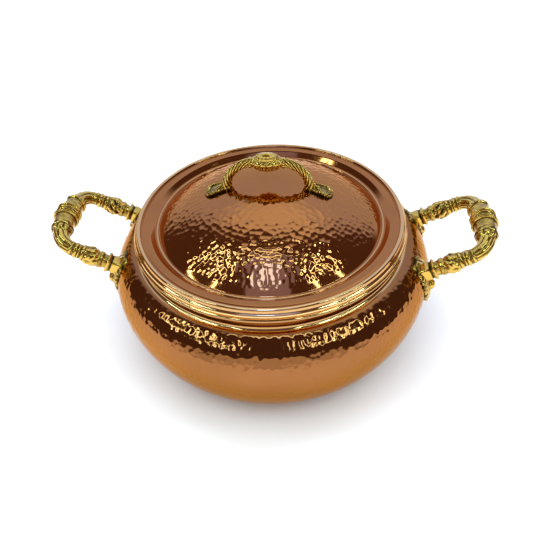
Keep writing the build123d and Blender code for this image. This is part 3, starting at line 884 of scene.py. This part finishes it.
def bail_fan():
    """The fan-shaped foot on the dome: a polished pad with a gadrooned edge, right side."""
    reach = np.linspace(0, 1, 70)
    across = np.linspace(-1, 1, 75)
    u, v = np.meshgrid(reach, across, indexing="ij")
    straight = fan_start + fan_length * u
    half = np.interp(u, (0, 0.5, 0.85, 1), (4.8, 6.4, 8.2, 7.4)) * (1 + 0.05 * np.sin(2.4 * straight))
    x = straight - 2.6 * u * v**2
    y = v * half
    rim = np.clip((np.maximum(np.abs(v), (u - 0.1) / 0.9) - 0.74) / 0.26, 0, 1)
    bead = np.sqrt(np.clip(1 - (2 * rim - 1) ** 2, 0, 1)) * (rim > 0)
    notch = np.abs(np.sin(0.95 * (x + 1.2 * np.abs(y)))) ** 0.6
    thick = 2.8 - 0.5 * u + bead * (0.1 + 1.4 * notch) - 1.6 * np.clip((rim - 0.8) / 0.2, 0, 1)
    # Painted shade in the notches of the gadrooned edge.
    relief = np.where(rim > 0, 0.9 * bead * notch, 0.42)
    sheets = []
    for rise in (thick, np.full(thick.shape, -fan_sunk)):
        sheets.append(np.stack([x, y, dome_centre + np.sqrt((dome_radius + rise) ** 2 - x**2 - y**2)], -1))
    rings = np.concatenate([sheets[0], sheets[1][:, ::-1]], axis=1)
    vertices, faces = closed_tube(rings)
    # The underside against the dome is painted in shade.
    tone = np.concatenate([relief, np.full(relief.shape, 0.1)], axis=1).ravel()
    return vertices, faces, np.r_[tone, 0.1, 0.1]


def shell_boss():
    """The oval boss: a knob in radiating shell flutes, with a scalloped rim."""
    tilt = np.linspace(0.02, pi - 0.02, 70)
    p, t = np.meshgrid(tilt, round_angles(180), indexing="ij")
    flute_count = 16
    flute = lobes(t, flute_count, 0.6)
    outer = lobes(t + pi / flute_count, flute_count, 0.6)
    belt = np.exp(-(((p - 1.35) / 0.22) ** 2))
    inner_belt = np.exp(-(((p - 0.62) / 0.13) ** 2))
    knob = np.exp(-((p / 0.34) ** 2))
    swell = 1 - 0.12 * (1 - flute) * np.sin(p) ** 2 * (1 - knob) + 0.10 * belt * outer + 0.07 * inner_belt
    swell = swell - 0.07 * np.exp(-(((p - 0.92) / 0.14) ** 2))
    half_length, half_width, half_height = 15.0, 9.0, 8.0
    x = half_length * swell * np.sin(p) * np.cos(t)
    y = half_width * swell * np.sin(p) * np.sin(t)
    z = bail_axis_height - 0.3 + half_height * swell * np.cos(p) + 1.3 * knob
    # Painted shade down the grooves between the flutes.
    relief = np.clip(0.25 + 0.75 * flute * (1 - 0.4 * inner_belt) + 0.3 * knob, 0, 1)
    vertices, faces = closed_tube(np.stack([x, y, z], -1))
    return vertices, turned(faces), np.r_[relief.ravel(), 1, 1]


def boss_collar(sign):
    """The ring at one end of the boss, where the rope goes in."""
    along = np.array([12.5, 13.6, 14.0, 14.8, 15.6, 16.1, 16.6])
    radius = np.array([3.0, 4.3, 4.9, 5.2, 4.9, 4.0, 2.6])
    count = 48
    angles = round_angles(count)
    notched = 1 - 0.08 * (1 - lobes(angles, 12, 0.6))
    rows = []
    for a, r in zip(along, radius):
        height = bail_axis_height - 0.6 + r * notched * np.sin(angles)
        rows.append(np.stack([np.full(count, sign * a), r * notched * np.cos(angles), height], 1))
    vertices, faces = closed_tube(np.array(rows))
    if sign < 0:
        faces = turned(faces)
    return vertices, faces, np.full(len(vertices), 0.7)


def build_bail():
    parts = (("rope_arm", "bail_arm", rope_arm()), ("fan_foot", "bail_foot", bail_fan()))
    for name, flip in (("right", False), ("left", True)):
        for part, node, (vertices, faces, relief) in parts:
            if flip:
                vertices, faces = mirrored(vertices, faces, 0)
            piece = make_object(f"{name}_{part}", vertices, faces, brass, relief)
            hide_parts(f"{name}_{node}")
            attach(piece, "lid")
    vertices, faces, relief = merged([shell_boss(), boss_collar(1), boss_collar(-1)])
    boss = make_object("shell_boss", vertices, faces, brass, relief)
    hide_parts("bail_boss")
    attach(boss, "lid")


def dress_nodes():
    """Materials of the CAD nodes that stay as they are."""
    looks = {
        "pot_lining": tin_lining,
        "lid_lining": tin_lining,
        "lid_skirt": lid_copper,
        "rivet_burrs": pot_copper,
        "rim_wire": plain_steel,
        "lid_edge_wire": plain_steel,
        "bail_screws": plain_steel,
        "bail_washers": plain_steel,
    }
    for name, look in looks.items():
        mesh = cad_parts[name].data
        mesh.materials.clear()
        mesh.materials.append(look)


# ---------------------------------------------------------------- floor, light and camera
GOLDEN = (0.60, 0.92, 1.05)  # turns pale gold in copper
FRAME_RADIANCE, SHELF_RADIANCE = 14.0, 11.0
LIGHT_DISTANCE = 1.15
LIGHT_CENTRE = (0, 0, 0.14)     # what the bars of light face: the middle of the kettle
WINDOW_AIM = (0, -0.090, 0.135)  # the front of the lid's border
BACKDROP = (0.97, 0.97, 0.98)   # what the camera sees past the floor
ROOM = (0.13, 0.078, 0.066)
WALL, CEILING = (0.68, 0.80, 1.30), (1.08, 1.24, 1.50)
WALL_EDGE = (0.62 - 0.08, 0.62 + 0.08)  # how far back the wall starts at floor level
WALL_RISE = 0.50            # how much of that the ceiling gives up straight above
CEILING_START, CEILING_FULL = 0.70, 0.88    # heights over which the wall turns into the ceiling
SCREEN = (0.95, 0.97, 1.02)
SCREEN_SLOPE = 0.75         # how fast the white screen in front falls away to its sides
SCREEN_DROP = 0.355         # how far that slope starts below eye level
SCREEN_EDGE = (-0.02, 0.04)


def build_floor():
    """A plain pale floor, wide enough to fill the picture and the belly's reflections."""
    material, node, link = new_material("pale_floor")
    shader = node("ShaderNodeBsdfPrincipled")
    shader.inputs["Base Color"].default_value = (0.93, 0.93, 0.94, 1)
    shader.inputs["Roughness"].default_value = 0.9
    shader.inputs["Specular IOR Level"].default_value = 0.0
    link(shader.outputs[0], node("ShaderNodeOutputMaterial").inputs[0])
    half, height = 2200.0, -0.3     # just under the pot's base
    corners = [(x * half, y * half, height) for x, y in ((-1, -1), (1, -1), (1, 1), (-1, 1))]
    make_object("floor", corners, [(0, 1, 2, 3)], material)


def add_area(name, place, aim, size, radiance, colour=(1, 1, 1), in_reflections=True):
    """A soft rectangular light in metres, turned to a point, as bright as its radiance says."""
    lamp = bpy.data.lights.new(name, "AREA")
    lamp.shape = "RECTANGLE"
    lamp.size, lamp.size_y = size
    lamp.energy = radiance * pi * size[0] * size[1]
    lamp.color = colour
    thing = bpy.data.objects.new(name, lamp)
    thing.location = place
    thing.rotation_euler = (Vector(aim) - Vector(place)).to_track_quat("-Z", "Y").to_euler()
    thing.visible_glossy = in_reflections
    bpy.context.scene.collection.objects.link(thing)
    return thing


def toward(azimuth, elevation, distance):
    """A point that far from the lights' centre, where azimuth 0 is the front and 90 the right."""
    a, e = radians(azimuth), radians(elevation)
    return (distance * sin(a) * cos(e), -distance * cos(a) * cos(e), LIGHT_CENTRE[2] + distance * sin(e))


def build_light():
    """Soft light from overhead, bright bars of light, and a window that only the lid reflects."""
    overhead = add_area("overhead", (0, -0.6, 2.4), (0, -0.6, 0), (4.6, 4.6), 1.75, (1.0, 0.97, 0.91), False)
    pot_only, lid_only = (bpy.data.collections.new(name) for name in ("lit_by_shelves", "lit_by_window"))
    pot_only.objects.link(bpy.data.objects["hammered_pot"])
    lid_only.objects.link(bpy.data.objects["hammered_lid"])
    for side_name, azimuth in (("left", -70), ("right", 66)):
        for part, turn, elevation, size in (
            ("outer", 1.16, 43, (0.034, 0.56)),
            ("inner", 0.80, 43, (0.034, 0.56)),
            ("top", 0.98, 57, (0.34, 0.030)),
            ("bottom", 0.98, 30, (0.50, 0.030)),
        ):
            place = toward(turn * azimuth, elevation, LIGHT_DISTANCE)
            add_area(f"frame_{side_name}_{part}", place, LIGHT_CENTRE, size, FRAME_RADIANCE, GOLDEN)
        for part, turn, elevation, size in (
            ("outer", 0.72, 44, (0.030, 0.44)),
            ("inner", 0.38, 44, (0.030, 0.44)),
            ("bottom", 0.55, 33, (0.36, 0.026)),
        ):
            place = toward(turn * azimuth, elevation, LIGHT_DISTANCE)
            shelf = add_area(f"shelf_{side_name}_{part}", place, LIGHT_CENTRE, size, SHELF_RADIANCE, GOLDEN)
            shelf.light_linking.receiver_collection = pot_only
    bar = add_area("bar_top", (0, -0.115, 0.496), (0, -0.066, 0.149), (0.30, 0.022), 4.5, GOLDEN)
    window = add_area("window", (0, -0.159, 0.291), WINDOW_AIM, (0.036, 0.072), 1.25, (1.4, 2.7, 6.6))
    panel = add_area("dim_panel", (0, -0.42, 0.72), WINDOW_AIM, (0.42, 0.52), 1.0, (0.30, 0.40, 1.05))
    for lamp in (overhead, bar, window, panel):
        lamp.visible_camera = False
    for lamp in (window, panel):
        lamp.light_linking.receiver_collection = lid_only


def build_world():
    """The room as a sky, which only reflections and the light see.

    It is dark and warm in front and at the sides. A pale, cool wall behind curves over into a brighter
    ceiling nearly to straight overhead. A low white screen stands in front, highest in its middle. The
    camera sees a plain pale backdrop instead.
    """
    world = bpy.data.worlds.new("room")
    bpy.context.scene.world = world
    world.use_nodes = True
    tree = world.node_tree
    tree.nodes.clear()
    node, link = node_maker(tree), tree.links.new
    split = node("ShaderNodeSeparateXYZ")
    link(node("ShaderNodeTexCoord").outputs["Generated"], split.inputs[0])
    depth, height = split.outputs[1], split.outputs[2]
    squared = maths(node, link, "MULTIPLY", height, height)
    behind = maths(node, link, "MULTIPLY_ADD", squared, WALL_RISE, depth)
    edge = scaled(node, link, behind, 0, 1, *WALL_EDGE, "SMOOTHSTEP")
    rise = scaled(node, link, height, 0, 1, CEILING_START, CEILING_FULL)
    room = mixed(node, link, edge, ROOM, mixed(node, link, rise, WALL, CEILING))
    front = maths(node, link, "MULTIPLY_ADD", depth, -SCREEN_SLOPE, -SCREEN_DROP)
    over_screen = maths(node, link, "SUBTRACT", front, height)
    screen_edge = scaled(node, link, over_screen, 0, 1, *SCREEN_EDGE, "SMOOTHSTEP")
    screened = mixed(node, link, screen_edge, room, SCREEN)
    seen = node("ShaderNodeMixShader")
    link(node("ShaderNodeLightPath").outputs["Is Camera Ray"], seen.inputs[0])
    for colour, socket in ((screened, seen.inputs[1]), (BACKDROP, seen.inputs[2])):
        background = node("ShaderNodeBackground")
        feed(link, colour, background.inputs[0])
        link(background.outputs[0], socket)
    link(seen.outputs[0], node("ShaderNodeOutputWorld").inputs[0])


# The camera, in degrees, millimetres of lens and metres.
camera_azimuth, camera_elevation, camera_roll = 6.1, 43.68, 2.96
camera_lens, sensor_width = 36.65, 36.0
camera_distance = 0.5332
camera_target = (0, 0, 0.1285)
aim_right, aim_down = 0.00507, 0.0576   # from the target to the middle of the picture


def build_camera():
    """The camera looks down from the front, turned a little to the right and rolled by a few degrees."""
    azimuth, elevation, roll = map(radians, (camera_azimuth, camera_elevation, camera_roll))
    back = Vector((sin(azimuth) * cos(elevation), -cos(azimuth) * cos(elevation), sin(elevation)))
    level = Vector((cos(azimuth), sin(azimuth), 0))
    upright = back.cross(level)
    right = cos(roll) * level - sin(roll) * upright
    up = sin(roll) * level + cos(roll) * upright
    target = Vector(camera_target) + aim_right * right - aim_down * up
    camera = bpy.data.objects.new("camera", bpy.data.cameras.new("camera"))
    camera.data.sensor_width = sensor_width
    camera.data.lens = camera_lens
    camera.data.clip_start = 0.01
    facing = Matrix((right, up, back)).transposed().to_4x4()
    camera.matrix_world = Matrix.Translation(target + camera_distance * back) @ facing
    bpy.context.scene.collection.objects.link(camera)
    bpy.context.scene.camera = camera


build_pot()
build_lid()
build_handles()
build_feet()
build_rivets()
build_bail()
dress_nodes()
build_floor()
build_light()
build_world()
build_camera()
bpy.context.scene.view_settings.view_transform = "Standard"
